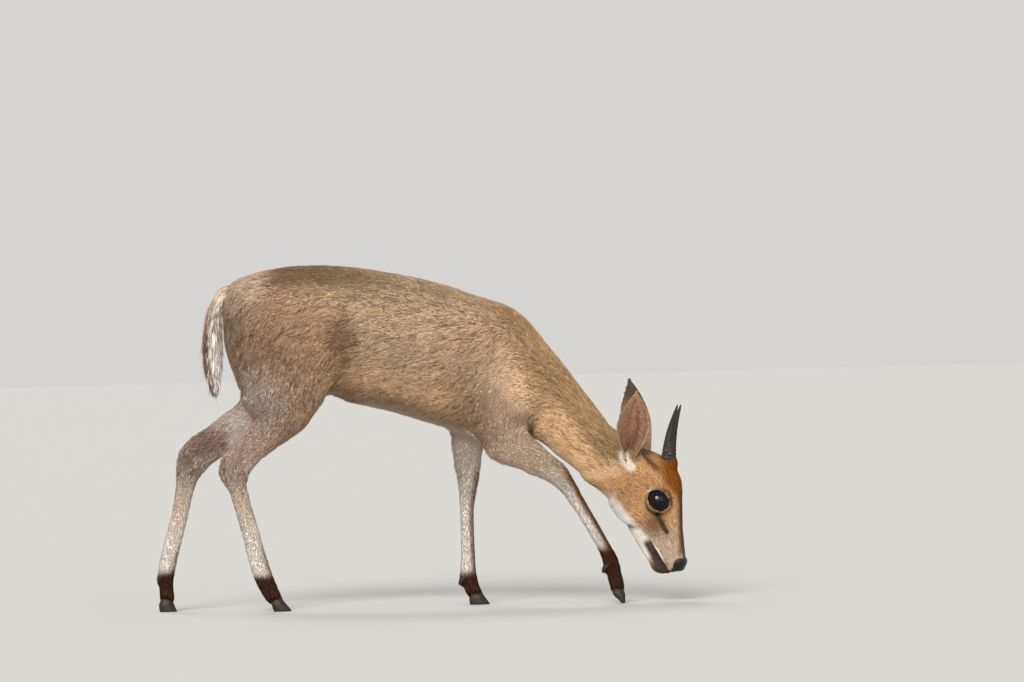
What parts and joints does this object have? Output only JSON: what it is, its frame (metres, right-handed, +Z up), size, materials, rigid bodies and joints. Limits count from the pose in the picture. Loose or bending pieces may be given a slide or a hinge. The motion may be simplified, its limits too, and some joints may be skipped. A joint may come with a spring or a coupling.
{
  "type": "common duiker",
  "caption": "Life-size still model of a small grey-brown antelope ram stepping forward with its head lowered to the ground.",
  "frame": {"origin": "on the floor, under the middle of the whole animal", "axes": "+X the way the animal walks, +Y its left side, +Z up"},
  "size_m": [0.7984, 0.1532, 0.5174],
  "materials": {
    "coat": "short grizzled grey-brown fur",
    "head_coat": "short fawn fur with a rufous forehead",
    "pale_coat": "short pale fur with dark brown above the hooves",
    "tail_hair": "long hair, dark above and white below",
    "ear_skin": "thin skin with sparse hair",
    "nose": "moist black skin",
    "eye": "wet glossy black",
    "horn": "horn, rough at the base and smooth at the tip",
    "hoof": "dull black horn"
  },
  "bodies": {
    "root": {"torso": "coat", "tail": "tail_hair", "neck": "coat", "head": "head_coat", "nose_pad": "nose", "eye_right": "eye", "horn_right": "horn", "ear_right": "ear_skin", "eye_left": "eye", "horn_left": "horn", "ear_left": "ear_skin", "hind_right_leg_upper": "coat", "hind_right_leg_lower": "pale_coat", "hind_right_hoof_inner": "hoof", "hind_right_hoof_outer": "hoof", "hind_left_leg_upper": "coat", "hind_left_leg_lower": "pale_coat", "hind_left_hoof_inner": "hoof", "hind_left_hoof_outer": "hoof", "fore_right_leg_upper": "coat", "fore_right_leg_lower": "pale_coat", "fore_right_hoof_inner": "hoof", "fore_right_hoof_outer": "hoof", "fore_left_leg_upper": "coat", "fore_left_leg_lower": "pale_coat", "fore_left_hoof_inner": "hoof", "fore_left_hoof_outer": "hoof"}
  },
  "joints": []
}
